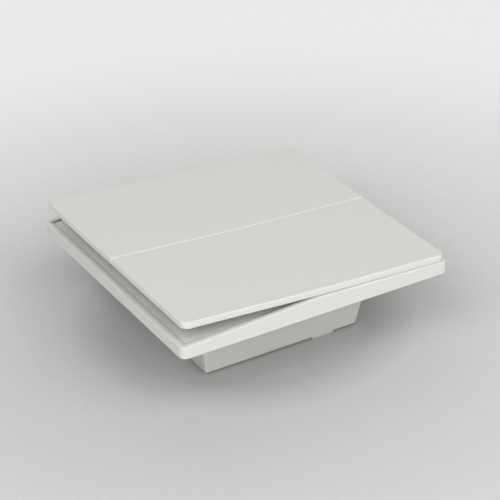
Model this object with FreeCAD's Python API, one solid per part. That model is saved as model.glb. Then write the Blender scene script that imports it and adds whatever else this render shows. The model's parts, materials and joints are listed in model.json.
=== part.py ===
# Two-gang wireless wall switch: a square plate with two see-saw keys over a tapered rear box.
# Millimetres. X is the way the keys rock, Y runs along their pivot line, Z points out of the wall.
# The origin is the middle of the plate on the wall plane. The keys are modelled pressed at +X.
import FreeCAD, Part
import math
import os
from FreeCAD import Vector

# How far joined pieces bite into each other, and how far cuts reach past a surface
bite = 0.5
past = 1.0

# Plate and its roof-shaped rim
plate_side = 86.0
plate_corner = 2.0
rim_ridge = 5.5
roof_slope = 2.55
rim_width = 2.1
rim_inner_corner = 0.8
rim_round = 0.3
rim_back_round = 0.1
rim_groove = 0.2

# Carrier inside the rim
deck_step = 0.3
deck_thickness = 1.5
carrier_wall = 1.6
well_wall = 1.5
well_inset = 2.5
shelf_thickness = 1.2
shelf_overhang = 6.5
rib_thickness = 1.0
rib_recess = 0.6

# Snap bumps that hold the frame on the carrier
snap_length = 8.0
snap_height = 0.8
snap_reach = 0.45
snap_level = 1.0
snap_pitch = 44.0
snap_gap = 0.1

# Wall fixing
fixing_pitch = 60.3
fixing_hole_radius = 2.25
fixing_head_radius = 3.75
fixing_floor = 1.8
fixing_boss_wall = 1.25

# Rear box
box_length = 58.0
lug_room = 8.3
box_draft = 3.75
box_wall = 1.5
box_floor_thickness = 1.5
box_corner = 0.6
box_rim_height = 1.5
box_rim_gap = 0.15
foot_height = 0.7
foot_length = 7.0
foot_depth = 2.0
foot_offset = 13.75
side_foot_offset = 12.0
post_inset = 2.35
post_radius = 2.2
post_web = 1.0

# Keys
key_tilt = 3.35
key_bend = 0.7
key_blend = 800.0
key_inset = 0.75
key_edge = 1.95
key_corner = 2.2
seam_corner = 0.4
seam_gap = 0.3
key_round = 0.45
key_underside_round = 0.2
key_skirt = 1.3
key_cavity = 0.55
key_rib_pitch = 7.0
landing_gap = 0.08
pivot_height = 1.7
pivot_radius = 1.0
pivot_gap = 0.05

# Levers under the covers
lever_end_gap = 1.5
lever_inner_y = 3.0
ear_thickness = 1.6
lever_thickness = 1.7
lever_corner = 1.5
lever_rib_offset = 3.5
lever_rib_depth = 0.6
lug_thickness = 1.6
lug_radius = 1.9
lug_gap = 0.35
pin_engagement = 1.5
peg_radius = 1.25
peg_gap = 0.05
peg_end = 4.0
peg_inset = 3.5
peg_tail = 0.4

# Drive from each lever to its armature
drive_ratio = 1.2
drive_pin_radius = 0.7
drive_gap = 0.05
fork_width = 6.0
fork_prong = 1.2
fork_tip = 0.5
fork_room = 0.545
fork_throat = 1.2

# Generator
core_thickness = 1.6
core_width = 6.0
core_length = 27.6
core_bend = 2.0
tip_gap = 1.5
coil_room = 0.37
pole_thickness = 1.2
pole_end_gap = 0.6
pole_width = 8.0
pole_corner = 0.6
magnet_length = 12.0
stop_gap = 0.08
cheek_thickness = 0.95
cheek_gap = 0.05
cheek_bar = 0.95
cheek_relief = 0.2
cheek_corner = 0.8
trunnion_radius = 0.8
tower_gap = 0.3
bobbin_side_gap = 0.3
tower_thickness = 1.5
tower_length = 9.0
tower_cap = 1.0
trunnion_reach = 1.35
bobbin_length = 16.4
bobbin_flange = 0.8
flange_corner = 0.6
bobbin_tube = 0.5
bobbin_fit = 0.05
bobbin_height = 5.6
bobbin_width = 9.8
winding_margin = 0.25
winding_corner = 1.0
wrap_gap = 0.02
base_thickness = 1.2
end_post = 1.0
end_post_height = 7.7
screw_margin = 0.3
foot_pad = 2.2
foot_pad_half_width = 3.0
foot_pad_corner = 1.0
terminal_radius = 0.3
terminal_pitch = 4.0
terminal_block = 2.2
terminal_block_height = 1.6
terminal_cover = 0.4
terminal_tail = 0.6

# Circuit board and what it carries
board_thickness = 1.0
board_edge_gap = 0.65
board_lift = 0.95
board_hole_gap = 0.1
shield_length = 9.0
shield_width = 9.0
shield_height = 2.0
shield_wall = 0.25
shield_corner = 0.5
chip_side = 5.0
chip_height = 0.9
small_part_y = 2.6
crystal_size = (3.2, 2.5, 0.8)
regulator_size = (2.9, 1.6, 1.1)
rectifier_size = (3.9, 4.9, 1.5)
rectifier_leg = (0.6, 0.9, 0.3)
rectifier_standoff = 0.1
component_corner = 0.3
row_start = 3.55
row_end = 0.65
capacitor_radius = 2.5
capacitor_gap = 0.5
capacitor_height = 7.0
capacitor_round = 0.4
vent_width = 0.24
vent_depth = 0.15
antenna_radius = 0.4
antenna_edge = 2.1
antenna_foot_gap = 1.5
antenna_post_gap = 4.4
antenna_top = -4.0
antenna_return = 5.5
antenna_bend = 1.5

# Screws
screw_radius = 0.95
screw_head_radius = 1.7
screw_head_height = 1.2
screw_gap = 0.02
screw_pass_gap = 0.15
screw_tip_room = 0.1
box_screw_length = 9.0
generator_screw_length = 4.4
recess_width = 0.5
recess_length = 2.2
recess_depth = 0.6

# Plate and carrier values that follow from those above
slope = math.tan(math.radians(roof_slope))
tilt = math.radians(key_tilt)
bend = math.radians(key_bend)
half_plate = plate_side / 2
rim_inner = half_plate - rim_width
carrier_half = rim_inner - rim_groove
carrier_corner = rim_inner_corner - rim_groove
deck_ridge = rim_ridge - deck_step
box_width = fixing_pitch - lug_room
box_half_x = box_length / 2
box_half_y = box_width / 2
shelf_level = box_rim_height
shelf_top = shelf_level + shelf_thickness
well_half_x = box_half_x - box_wall - well_inset
well_half_y = box_half_y - box_wall + snap_gap
shelf_open_x = well_half_x - shelf_overhang
ear_outer = box_half_y - box_wall - box_rim_gap
shelf_open_y = ear_outer - ear_thickness

# Key and lever values: the cover's end lands on the rim at the end of its travel
key_half = half_plate - key_inset
key_underside = pivot_height + (rim_ridge + landing_gap - pivot_height
                                - key_half * slope + key_half * math.sin(tilt)) / math.cos(tilt)
key_top = key_underside + key_edge
key_dip = key_half * math.tan(bend)
key_ceiling = key_underside + key_cavity
lever_half = shelf_open_x - lever_end_gap
lever_outer_y = shelf_open_y - lug_gap
gang_y = (lever_inner_y + lever_outer_y) / 2
pin_length = lug_gap + pin_engagement
peg_x = lever_half - peg_end

# Armature and drive values: the poles just clear the core's tips at both ends of the swing
swing = key_tilt * drive_ratio
swing_sine = math.sin(math.radians(swing))
swing_cosine = math.cos(math.radians(swing))
core_half = core_length / 2
pole_half = core_half - core_thickness - pole_end_gap
pole_gap_half = (core_thickness / 2 + stop_gap + pole_half * swing_sine) / swing_cosine
pole_stack = pole_gap_half + pole_thickness
armature_arm = pole_stack + fork_room + fork_tip
lever_arm = armature_arm * drive_ratio
armature_depth = armature_arm + lever_arm - pivot_height
cheek_half = magnet_length / 2 + cheek_gap + cheek_bar
cheek_inner = pole_width / 2 + cheek_gap
cheek_outer = cheek_inner + cheek_thickness
tower_inner = max(cheek_outer + tower_gap, bobbin_width / 2 + bobbin_side_gap)
tower_outer = tower_inner + tower_thickness

# Levels below the armature, down to the box's floor
coil_top = -armature_depth - pole_stack * swing_cosine - pole_half * swing_sine - coil_room
coil_level = coil_top - bobbin_height / 2
base_top = coil_top - bobbin_height
board_top = base_top - base_thickness
board_bottom = board_top - board_thickness
box_floor_top = board_bottom - board_lift
box_depth = box_floor_thickness - box_floor_top
generator_screw_x = core_half + end_post + screw_margin + screw_head_radius
base_half = generator_screw_x + foot_pad


def block(x0, x1, y0, y1, z0, z1):
    """A box between two corners."""
    return Part.makeBox(x1 - x0, y1 - y0, z1 - z0, Vector(x0, y0, z0))


def rod(x, y, z, direction, radius, length):
    """A cylinder that starts at a point and runs along a direction."""
    return Part.makeCylinder(radius, length, Vector(x, y, z), Vector(*direction))


def rounded_outline(x0, x1, y0, y1, corners, z):
    """A closed outline with four corner radii, from the low-x low-y corner round to high-y low-x."""
    spots = [(x0, y0, corners[0], 180), (x1, y0, corners[1], 270),
             (x1, y1, corners[2], 0), (x0, y1, corners[3], 90)]
    arcs = []
    for x, y, radius, start in spots:
        centre = Vector(x + math.copysign(radius, (x0 + x1) / 2 - x),
                        y + math.copysign(radius, (y0 + y1) / 2 - y), z)
        arcs.append(Part.makeCircle(radius, centre, Vector(0, 0, 1), start, start + 90))
    edges = []
    for arc, following in zip(arcs, arcs[1:] + arcs[:1]):
        edges.append(arc)
        edges.append(Part.makeLine(arc.Vertexes[-1].Point, following.Vertexes[0].Point))
    return Part.Wire(edges)


def rounded_block(x0, x1, y0, y1, z0, z1, corners):
    """A block whose four upright edges are rounded."""
    if not isinstance(corners, tuple):
        corners = (corners,) * 4
    outline = rounded_outline(x0, x1, y0, y1, corners, z0)
    return Part.Face(outline).extrude(Vector(0, 0, z1 - z0))


def rounded_square(half, z0, z1, corner):
    """A rounded square block about the Z axis."""
    return rounded_block(-half, half, -half, half, z0, z1, corner)


def profile_xz(points, y0, y1):
    """A polygon in the XZ plane, drawn out along Y."""
    corners = [Vector(x, y0, z) for x, z in points]
    wire = Part.makePolygon(corners + corners[:1])
    return Part.Face(wire).extrude(Vector(0, y1 - y0, 0))


def rounded_profile_xz(x0, x1, z0, z1, y0, y1, corner):
    """A rounded rectangle in the XZ plane, drawn out along Y."""
    shape = rounded_block(x0, x1, z0, z1, -y1, -y0, corner)
    shape.rotate(Vector(0, 0, 0), Vector(1, 0, 0), 90)
    return shape


def rounded_profile_yz(y0, y1, z0, z1, x0, x1, corner):
    """A rounded rectangle in the YZ plane, drawn out along X."""
    shape = rounded_block(-z1, -z0, y0, y1, x0, x1, corner)
    shape.rotate(Vector(0, 0, 0), Vector(0, 1, 0), 90)
    return shape


def roof(ridge, base):
    """Everything under a roof whose ridge lies over the pivot line."""
    reach = plate_side
    eave = ridge - reach * slope
    return profile_xz([(-reach, base), (reach, base), (reach, eave), (0, ridge), (-reach, eave)],
                      -plate_side, plate_side)


def joined(shapes):
    """One solid made from pieces that overlap."""
    return shapes[0].multiFuse(shapes[1:]).removeSplitter()


def both_sides(shape):
    """A shape and its mirror image across the seam."""
    return [shape, shape.mirror(Vector(0, 0, 0), Vector(0, 1, 0))]


def turned_key(shape):
    """Tilts a piece of a key from level to pressed at +X."""
    shape.rotate(Vector(0, 0, pivot_height), Vector(0, 1, 0), key_tilt)
    return shape


def turned_armature(shape):
    """Swings a piece of an armature to where a pressed key holds it."""
    shape.rotate(Vector(0, 0, -armature_depth), Vector(0, 1, 0), -swing)
    return shape


def flat_edges(shape, z):
    """The edges that lie in one level plane."""
    found = []
    for edge in shape.Edges:
        if all(abs(vertex.Z - z) < 1e-6 for vertex in edge.Vertexes):
            found.append(edge)
    return found


def top_rim_edges(shape):
    """The outer top edges of the frame, without its ridge line."""
    found = []
    for edge in shape.Edges:
        box = edge.BoundBox
        low = box.ZMin > rim_ridge - half_plate * slope - bite
        along_ridge = box.XLength < 1e-6 and abs(box.Center.x) < 1e-6
        if low and not along_ridge:
            found.append(edge)
    return found


def snap_places():
    """Middle and direction of each snap bump, as (x, y, along_x)."""
    places = []
    for offset in (-snap_pitch / 2, snap_pitch / 2):
        for side in (-1, 1):
            places.append((offset, side, True))
            places.append((offset, side, False))
    return places


def snap_block(offset, side, along_x, inner, outer, length, z0, z1):
    """A block on one inside face of the frame, from inner to outer distance off the middle."""
    low, high = sorted((side * inner, side * outer))
    if along_x:
        return block(offset - length / 2, offset + length / 2, low, high, z0, z1)
    return block(low, high, offset - length / 2, offset + length / 2, z0, z1)


def surface_frame():
    """The outer ring with the roof-shaped rim."""
    body = rounded_square(half_plate, 0, rim_ridge + past, plate_corner).common(roof(rim_ridge, -past))
    body = body.makeFillet(rim_round, top_rim_edges(body))
    body = body.makeFillet(rim_back_round, flat_edges(body, 0))
    body = body.cut(rounded_square(rim_inner, -past, rim_ridge + past, rim_inner_corner))
    bumps = []
    for offset, side, along_x in snap_places():
        bumps.append(snap_block(offset, side, along_x, carrier_half - snap_reach + rim_groove,
                                rim_inner + bite, snap_length, snap_level, snap_level + snap_height))
    return joined([body] + bumps)


def carrier_envelope():
    """The outer form of the carrier, under its deck."""
    whole = rounded_square(carrier_half, 0, rim_ridge, carrier_corner)
    return whole.common(roof(deck_ridge, -past))


def carrier_ribs():
    """Stiffening ribs behind the deck, from the box seat to the side walls."""
    reach = carrier_half - carrier_wall / 2
    seat_x = box_half_x + box_rim_gap + well_wall / 2
    seat_y = box_half_y + box_rim_gap + well_wall / 2
    half = rib_thickness / 2
    ribs = []
    for side in (-1, 1):
        for x in (-3 * seat_x / 4, -seat_x / 3, seat_x / 3, 3 * seat_x / 4):
            y0, y1 = sorted((side * seat_y, side * reach))
            ribs.append(block(x - half, x + half, y0, y1, rib_recess, rim_ridge))
        for y in (-3 * seat_y / 4, -seat_y / 4, seat_y / 4, 3 * seat_y / 4):
            x0, x1 = sorted((side * seat_x, side * reach))
            ribs.append(block(x0, x1, y - half, y + half, rib_recess, rim_ridge))
    return ribs


def pivot_bores():
    """The holes for the levers' pins, through the middle post and into the outer ears."""
    radius = pivot_radius + pivot_gap
    middle = rod(0, -lever_inner_y, pivot_height, (0, 1, 0), radius, 2 * lever_inner_y)
    bore = rod(0, lever_outer_y, pivot_height, (0, 1, 0), radius, lug_gap + ear_thickness)
    return [middle] + both_sides(bore)


def box_half_at(depth):
    """Half length and half width of the box's outside at a depth behind the wall plane."""
    share = depth / box_depth
    return box_half_x - share * box_draft, box_half_y - share * box_draft


def floor_post():
    """Where the screw posts stand: a little inside the floor's corners."""
    half_x, half_y = box_half_at(-box_floor_top)
    return half_x - box_wall - post_inset, half_y - box_wall - post_inset


def post_places():
    """The middle of each of the four screw posts."""
    x, y = floor_post()
    return [(-x, -y), (-x, y), (x, -y), (x, y)]


def generator_screw_places():
    """The middle of each of the four generator screws."""
    return [(x, y) for x in (-generator_screw_x, generator_screw_x) for y in (-gang_y, gang_y)]


def carrier_plate():
    """The inner moulding: deck, box seat, wall fixings and pivot bearings."""
    envelope = carrier_envelope()
    hollow = rounded_square(carrier_half - carrier_wall, -past, rim_ridge, carrier_corner)
    shell = envelope.cut(hollow.common(roof(deck_ridge - deck_thickness, -2 * past)))

    seat_x = box_half_x + box_rim_gap + well_wall
    seat_y = box_half_y + box_rim_gap + well_wall
    inner = [block(-seat_x, seat_x, -seat_y, seat_y, 0, shelf_top)]
    inner.append(block(-well_half_x - well_wall, well_half_x + well_wall,
                       -well_half_y - well_wall, well_half_y + well_wall, shelf_level, rim_ridge))
    fixing_y = fixing_pitch / 2
    boss = rod(0, fixing_y, 0, (0, 0, 1), fixing_head_radius + fixing_boss_wall, rim_ridge)
    inner += both_sides(boss) + carrier_ribs()
    body = joined([shell] + [piece.common(envelope) for piece in inner])

    cuts = [block(-box_half_x - box_rim_gap, box_half_x + box_rim_gap,
                  -box_half_y - box_rim_gap, box_half_y + box_rim_gap, -past, shelf_level)]
    cuts.append(block(-well_half_x, well_half_x, -well_half_y, well_half_y, shelf_top, rim_ridge + past))
    cuts.append(block(-shelf_open_x, shelf_open_x, -shelf_open_y, shelf_open_y, 0, rim_ridge))
    cuts += both_sides(rod(0, fixing_y, -past, (0, 0, 1), fixing_hole_radius, rim_ridge))
    cuts += both_sides(rod(0, fixing_y, fixing_floor, (0, 0, 1), fixing_head_radius, rim_ridge))
    for x, y in post_places():
        cuts.append(rod(x, y, 0, (0, 0, 1), screw_radius + screw_pass_gap, rim_ridge))
    for offset, side, along_x in snap_places():
        cuts.append(snap_block(offset, side, along_x, carrier_half - snap_reach, half_plate,
                               snap_length + 2 * snap_gap, snap_level - snap_gap,
                               snap_level + snap_height + snap_gap))
    body = body.cut(cuts)

    # The bridge across the well, its middle post and the two outer ears carry the pivots.
    bearing = pivot_radius + well_wall
    low = pivot_height - bearing
    post_y_half = lever_inner_y - lug_gap
    bridge = block(-well_half_x - bite, well_half_x + bite, -well_wall, well_wall, low, rim_ridge)
    post = block(-bearing, bearing, -post_y_half, post_y_half, low, pivot_height + bearing)
    ear = joined([
        block(-bearing, bearing, shelf_open_y, ear_outer, low, pivot_height + bearing),
        block(-bearing, bearing, shelf_open_y, well_half_y + bite, shelf_level, pivot_height + bearing)])
    below = block(-carrier_half, carrier_half, -carrier_half, carrier_half, -box_depth, 0)
    trim = joined([below, envelope])
    bearings = [piece.common(trim) for piece in [bridge, post] + both_sides(ear)]
    return joined([body] + bearings).cut(pivot_bores())


def tapered(depth0, depth1, inset, corner):
    """A tapered block that follows the box's outside between two depths."""
    wires = []
    for depth in (depth0, depth1):
        half_x, half_y = box_half_at(depth)
        wires.append(rounded_outline(-half_x + inset, half_x - inset, -half_y + inset,
                                     half_y - inset, (corner,) * 4, -depth))
    return Part.makeLoft(wires, True, True)


def box_feet(outside):
    """Four low feet on the edge of the box's floor, flush with its walls."""
    half_x, half_y = box_half_at(box_depth)
    half = foot_length / 2
    low = -box_depth - foot_height
    high = -box_depth
    places = [
        block(foot_offset - half, foot_offset + half, -half_y - past, -half_y + foot_depth, low, high),
        block(-foot_offset - half, -foot_offset + half, half_y - foot_depth, half_y + past, low, high),
        block(-half_x - past, -half_x + foot_depth, side_foot_offset - half, side_foot_offset + half,
              low, high),
        block(half_x - foot_depth, half_x + past, -side_foot_offset - half, -side_foot_offset + half,
              low, high)]
    return [place.common(outside) for place in places]


def rear_box():
    """The tapered box with its screw posts, board bosses and feet."""
    outside = tapered(0, box_depth + foot_height, 0, box_corner)
    floor_cut = block(-box_length, box_length, -box_width, box_width, -2 * box_depth, -box_depth)
    feet = box_feet(outside)
    body = outside.cut(floor_cut)
    body = body.fuse(rounded_block(-box_half_x, box_half_x, -box_half_y, box_half_y,
                                   0, box_rim_height, box_corner))
    inner_corner = box_corner / 2
    cavity = tapered(0, -box_floor_top, box_wall, inner_corner)
    mouth = rounded_block(-box_half_x + box_wall, box_half_x - box_wall, -box_half_y + box_wall,
                          box_half_y - box_wall, 0, box_rim_height + past, inner_corner)
    shell = body.cut([cavity, mouth])

    inside = []
    root = box_floor_top - box_floor_thickness / 3
    half = post_web / 2
    for x, y in post_places():
        inside.append(rod(x, y, root, (0, 0, 1), post_radius, box_rim_height - root))
        x0, x1 = sorted((x, math.copysign(box_half_x, x)))
        y0, y1 = sorted((y, math.copysign(box_half_y, y)))
        inside.append(block(x0, x1, y - half, y + half, root, 0))
        inside.append(block(x - half, x + half, y0, y1, root, 0))
    for x, y in generator_screw_places():
        inside.append(rod(x, y, root, (0, 0, 1), post_radius, board_bottom - root))
    shape = joined([shell] + [piece.common(body) for piece in inside] + feet)

    pilots = []
    radius = screw_radius + screw_gap
    for x, y in post_places():
        pilots.append(rod(x, y, shelf_top - box_screw_length - screw_tip_room, (0, 0, 1), radius,
                          2 * box_screw_length))
    for x, y in generator_screw_places():
        tip = base_top - generator_screw_length - screw_tip_room
        pilots.append(rod(x, y, tip, (0, 0, 1), radius, 2 * generator_screw_length))
    return shape.cut(pilots)


def bent_line(z, y):
    """Five points on a cover's long section: its halves rise from a soft bend to the height z at its ends."""
    rise = math.tan(bend)
    blend_x = key_blend * math.sin(bend)
    end_x = key_half + past
    lowest = key_blend * (1 / math.cos(bend) - 1)
    points = []
    for x, height in ((-end_x, end_x * rise), (-blend_x, blend_x * rise), (0, lowest),
                      (blend_x, blend_x * rise), (end_x, end_x * rise)):
        points.append(Vector(x, y, z - key_dip + height))
    return points


def bent_slab(low, high, y0, y1):
    """A slab bent along the pivot line, between two heights at the cover's ends."""
    under = bent_line(low, y0)
    over = bent_line(high, y0)[::-1]
    edges = []
    for points, following in ((under, over), (over, under)):
        start, blend_in, middle, blend_out, end = points
        edges += [Part.makeLine(start, blend_in), Part.Arc(blend_in, middle, blend_out).toShape(),
                  Part.makeLine(blend_out, end), Part.makeLine(end, following[0])]
    return Part.Face(Part.Wire(edges)).extrude(Vector(0, y1 - y0, 0))


def bent_edges(shape, z):
    """The outer edges of a cover's bent face whose ends are at the height z."""
    found = []
    for edge in shape.Edges:
        box = edge.BoundBox
        across_face = box.XLength < 1e-6 and abs(box.Center.x) < key_half - past
        heights = [z - key_dip + abs(vertex.X) * math.tan(bend) for vertex in edge.Vertexes]
        on_face = all(abs(vertex.Z - height) < 1e-6 for vertex, height in zip(edge.Vertexes, heights))
        if on_face and not across_face:
            found.append(edge)
    return found


def key_cover():
    """The back key's cover, level: a thin bent plate with a shallow hollow, ribs and four pegs."""
    y0 = seam_gap / 2
    corners = (seam_corner, seam_corner, key_corner, key_corner)
    plate = rounded_block(-key_half, key_half, y0, key_half, key_underside - key_dip - past,
                          key_top + past, corners)
    plate = plate.common(bent_slab(key_underside, key_top, -past, key_half + past))
    plate = plate.makeFillet(key_round, bent_edges(plate, key_top))
    plate = plate.makeFillet(key_underside_round, bent_edges(plate, key_underside))
    hollow = rounded_block(-key_half + key_skirt, key_half - key_skirt, y0 + key_skirt,
                           key_half - key_skirt, key_underside - key_dip - past, key_ceiling,
                           key_corner - key_skirt)
    plate = plate.cut(hollow)
    extras = []
    rib_x = lever_half + key_rib_pitch / 2
    while rib_x < key_half - key_skirt - rib_thickness:
        for side in (-1, 1):
            extras.append(block(side * rib_x - rib_thickness / 2, side * rib_x + rib_thickness / 2,
                                y0 + key_skirt / 2, key_half - key_skirt / 2,
                                key_underside + key_underside_round, key_ceiling + bite))
        rib_x += key_rib_pitch
    for x in (-peg_x, peg_x):
        for y in (lever_inner_y + peg_inset, lever_outer_y - peg_inset):
            extras.append(rod(x, y, key_ceiling - lever_thickness - peg_tail, (0, 0, 1), peg_radius,
                              lever_thickness + peg_tail + bite))
    return joined([plate] + extras)


def key_lever():
    """The back key's lever, level: plate, two lugs with pins, and the drive fork."""
    top = key_ceiling
    under = top - lever_thickness
    plate = rounded_block(-lever_half, lever_half, lever_inner_y, lever_outer_y, under, top, lever_corner)
    pieces = [plate]
    for y in (lever_inner_y, lever_outer_y - lug_thickness):
        web = block(-lug_radius, lug_radius, y, y + lug_thickness, pivot_height, under + bite)
        eye = rod(0, y, pivot_height, (0, 1, 0), lug_radius, lug_thickness)
        brace = profile_xz([(-3 * lug_radius, under + bite), (0, pivot_height),
                            (3 * lug_radius, under + bite)], y, y + lug_thickness)
        pieces += [web, eye, brace]
    for y in (lever_inner_y - pin_length, lever_outer_y - bite):
        pieces.append(rod(0, y, pivot_height, (0, 1, 0), pivot_radius, pin_length + bite))

    slot_half = drive_pin_radius + drive_gap
    fork_half = slot_half + fork_prong
    pin_level = pivot_height - lever_arm
    stem = block(-fork_half, fork_half, gang_y - fork_width / 2, gang_y + fork_width / 2,
                 pin_level - fork_tip, under + bite)
    slot = block(-slot_half, slot_half, gang_y - fork_width, gang_y + fork_width,
                 pin_level - fork_tip - past, pin_level + fork_throat)
    pieces.append(stem.cut(slot))
    ribs = []
    for y in (lever_inner_y + lever_rib_offset, lever_outer_y - lever_rib_offset):
        ribs.append(block(-lever_half + lever_corner, lever_half - lever_corner,
                          y - rib_thickness / 2, y + rib_thickness / 2,
                          under - lever_rib_depth, under + bite))
    body = joined(pieces + ribs)
    holes = []
    for x in (-peg_x, peg_x):
        for y in (lever_inner_y + peg_inset, lever_outer_y - peg_inset):
            holes.append(rod(x, y, under - lever_rib_depth - past, (0, 0, 1), peg_radius + peg_gap,
                             lever_rib_depth + lever_thickness + 2 * past))
    return body.cut(holes)


def generator_frame():
    """The plastic frame that holds a core and carries an armature, about y = 0."""
    plate_half = core_half + end_post
    seat_half = bobbin_width / 2 - winding_margin
    pieces = [block(-plate_half, plate_half, -seat_half, seat_half, board_top, base_top)]
    pieces.append(block(-tower_length / 2, tower_length / 2, -tower_outer, tower_outer, board_top, base_top))
    pieces.append(rounded_block(-base_half, base_half, -foot_pad_half_width, foot_pad_half_width,
                                board_top, base_top, foot_pad_corner))
    tower_top = -armature_depth + trunnion_radius + tower_cap
    for side in (-1, 1):
        y0, y1 = sorted((side * tower_inner, side * tower_outer))
        column = block(-tower_length / 2, tower_length / 2, y0, y1, base_top - bite, -armature_depth)
        head = rounded_profile_xz(-tower_length / 4, tower_length / 4, coil_level, tower_top,
                                  y0, y1, trunnion_radius)
        pieces += [column, head]
        x0, x1 = sorted((side * (core_half + wrap_gap), side * (core_half + end_post)))
        pieces.append(block(x0, x1, -core_width / 2, core_width / 2, base_top - bite,
                            base_top + end_post_height))
    body = joined(pieces)
    holes = [rod(0, -2 * tower_outer, -armature_depth, (0, 1, 0), trunnion_radius + pivot_gap,
                 4 * tower_outer)]
    through = base_thickness + 2 * past
    for x in (-generator_screw_x, generator_screw_x):
        holes.append(rod(x, 0, board_top - past, (0, 0, 1), screw_radius + screw_pass_gap, through))
    for y in (-terminal_pitch / 2, terminal_pitch / 2):
        holes.append(rod(terminal_x(), y, board_top - past, (0, 0, 1), terminal_radius + board_hole_gap,
                         through))
    return body.cut(holes)


def terminal_x():
    """Where a bobbin's terminal pins stand along X."""
    return -bobbin_length / 2 - terminal_block / 2


def core():
    """The bent iron core: a U whose tips point inwards between the pole plates."""
    half = core_thickness / 2
    outer = rounded_profile_xz(-core_half, core_half, coil_level - half, -armature_depth + half,
                               -core_width / 2, core_width / 2, core_bend)
    inside = core_half - core_thickness
    inner = rounded_profile_xz(-inside, inside, coil_level + half, -armature_depth - half,
                               -core_width, core_width, core_bend - core_thickness)
    tips = cheek_half + tip_gap
    gap = block(-tips, tips, -core_width, core_width, -armature_depth - core_thickness, 0)
    return outer.cut([inner, gap])


def bobbin():
    """The coil bobbin: a square tube on the core, two flanges and a terminal block."""
    hole_y = core_width / 2 + bobbin_fit
    hole_z = core_thickness / 2 + bobbin_fit
    half = bobbin_length / 2
    tube = block(-half, half, -hole_y - bobbin_tube, hole_y + bobbin_tube,
                 coil_level - hole_z - bobbin_tube, coil_level + hole_z + bobbin_tube)
    pieces = [tube]
    for x in (-half, half - bobbin_flange):
        pieces.append(rounded_profile_yz(-bobbin_width / 2, bobbin_width / 2, base_top,
                                         coil_level + bobbin_height / 2, x, x + bobbin_flange,
                                         flange_corner))
    pieces.append(block(-half - terminal_block, -half + bobbin_flange / 2, -core_width / 2,
                        core_width / 2, base_top, base_top + terminal_block_height))
    body = joined(pieces)
    cuts = [block(-2 * half, 2 * half, -hole_y, hole_y, coil_level - hole_z, coil_level + hole_z)]
    for y in (-terminal_pitch / 2, terminal_pitch / 2):
        cuts.append(rod(terminal_x(), y, base_top - past, (0, 0, 1), terminal_radius + wrap_gap,
                        past + terminal_block_height - terminal_cover))
    return body.cut(cuts)


def winding():
    """The copper winding, as one solid ring round the bobbin's tube."""
    half = bobbin_length / 2 - bobbin_flange - wrap_gap
    width = bobbin_width / 2 - winding_margin
    height = bobbin_height / 2 - winding_margin
    outer = rounded_profile_yz(-width, width, coil_level - height, coil_level + height,
                               -half, half, winding_corner)
    hole_y = core_width / 2 + bobbin_fit + bobbin_tube + wrap_gap
    hole_z = core_thickness / 2 + bobbin_fit + bobbin_tube + wrap_gap
    return outer.cut(block(-2 * half, 2 * half, -hole_y, hole_y, coil_level - hole_z, coil_level + hole_z))


def armature_holder():
    """The see-saw that clamps the magnet and pole plates, level, about y = 0."""
    half = cheek_half
    cheek_height = pole_stack - cheek_relief
    level = -armature_depth
    pin_level = level + armature_arm
    arm_half = drive_pin_radius * 2
    pieces = []
    for side in (-1, 1):
        y0, y1 = sorted((side * cheek_inner, side * cheek_outer))
        pieces.append(rounded_profile_xz(-half, half, level - cheek_height, level + cheek_height,
                                         y0, y1, cheek_corner))
        pieces.append(rounded_profile_xz(-arm_half, arm_half, level, pin_level + arm_half,
                                         y0, y1, arm_half / 2))
        pieces.append(rod(0, side * cheek_inner, level, (0, side, 0), trunnion_radius,
                          tower_inner - cheek_inner + trunnion_reach))
    bar_inner = magnet_length / 2 + cheek_gap
    for x0, x1 in ((-half, -bar_inner), (bar_inner, half)):
        pieces.append(block(x0, x1, -cheek_inner - bite, cheek_inner + bite,
                            level - core_thickness / 2, level + core_thickness / 2))
    pieces.append(rod(0, -cheek_inner - bite, pin_level, (0, 1, 0), drive_pin_radius,
                      2 * (cheek_inner + bite)))
    return joined(pieces)


def magnet():
    """The block magnet between the pole plates, level, about y = 0."""
    return block(-magnet_length / 2, magnet_length / 2, -pole_width / 2, pole_width / 2,
                 -armature_depth - pole_gap_half, -armature_depth + pole_gap_half)


def pole_plate(side):
    """A pole plate above (1) or below (-1) the magnet, level, about y = 0."""
    z0, z1 = sorted((side * pole_gap_half, side * (pole_gap_half + pole_thickness)))
    return rounded_block(-pole_half, pole_half, -pole_width / 2, pole_width / 2,
                         -armature_depth + z0, -armature_depth + z1, pole_corner)


def coil_terminals():
    """The two wire pins of each bobbin, through its frame and the board."""
    low = board_bottom - terminal_tail
    high = base_top + terminal_block_height - terminal_cover
    pins = []
    for y in (-gang_y, gang_y):
        for step in (-terminal_pitch / 2, terminal_pitch / 2):
            pins.append(rod(terminal_x(), y + step, low, (0, 0, 1), terminal_radius, high - low))
    return Part.makeCompound(pins)


def board_half():
    """Half length and half width of the circuit board."""
    half_x, half_y = box_half_at(-board_bottom)
    return half_x - box_wall - board_edge_gap, half_y - box_wall - board_edge_gap


def antenna_foot():
    """Where the antenna stands in the board, beside the radio's shield."""
    return antenna_edge - board_half()[0], -shield_width / 2 - antenna_foot_gap


def row_places():
    """The middle of each thing in the row between the generators, evenly spaced over the board."""
    lengths = [shield_length, chip_side, crystal_size[0], 2 * capacitor_radius, rectifier_size[0]]
    start = row_start - board_half()[0]
    room = board_half()[0] - row_end - start - sum(lengths)
    places = []
    for length in lengths:
        places.append(start + length / 2)
        start += length + room / (len(lengths) - 1)
    return places


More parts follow.
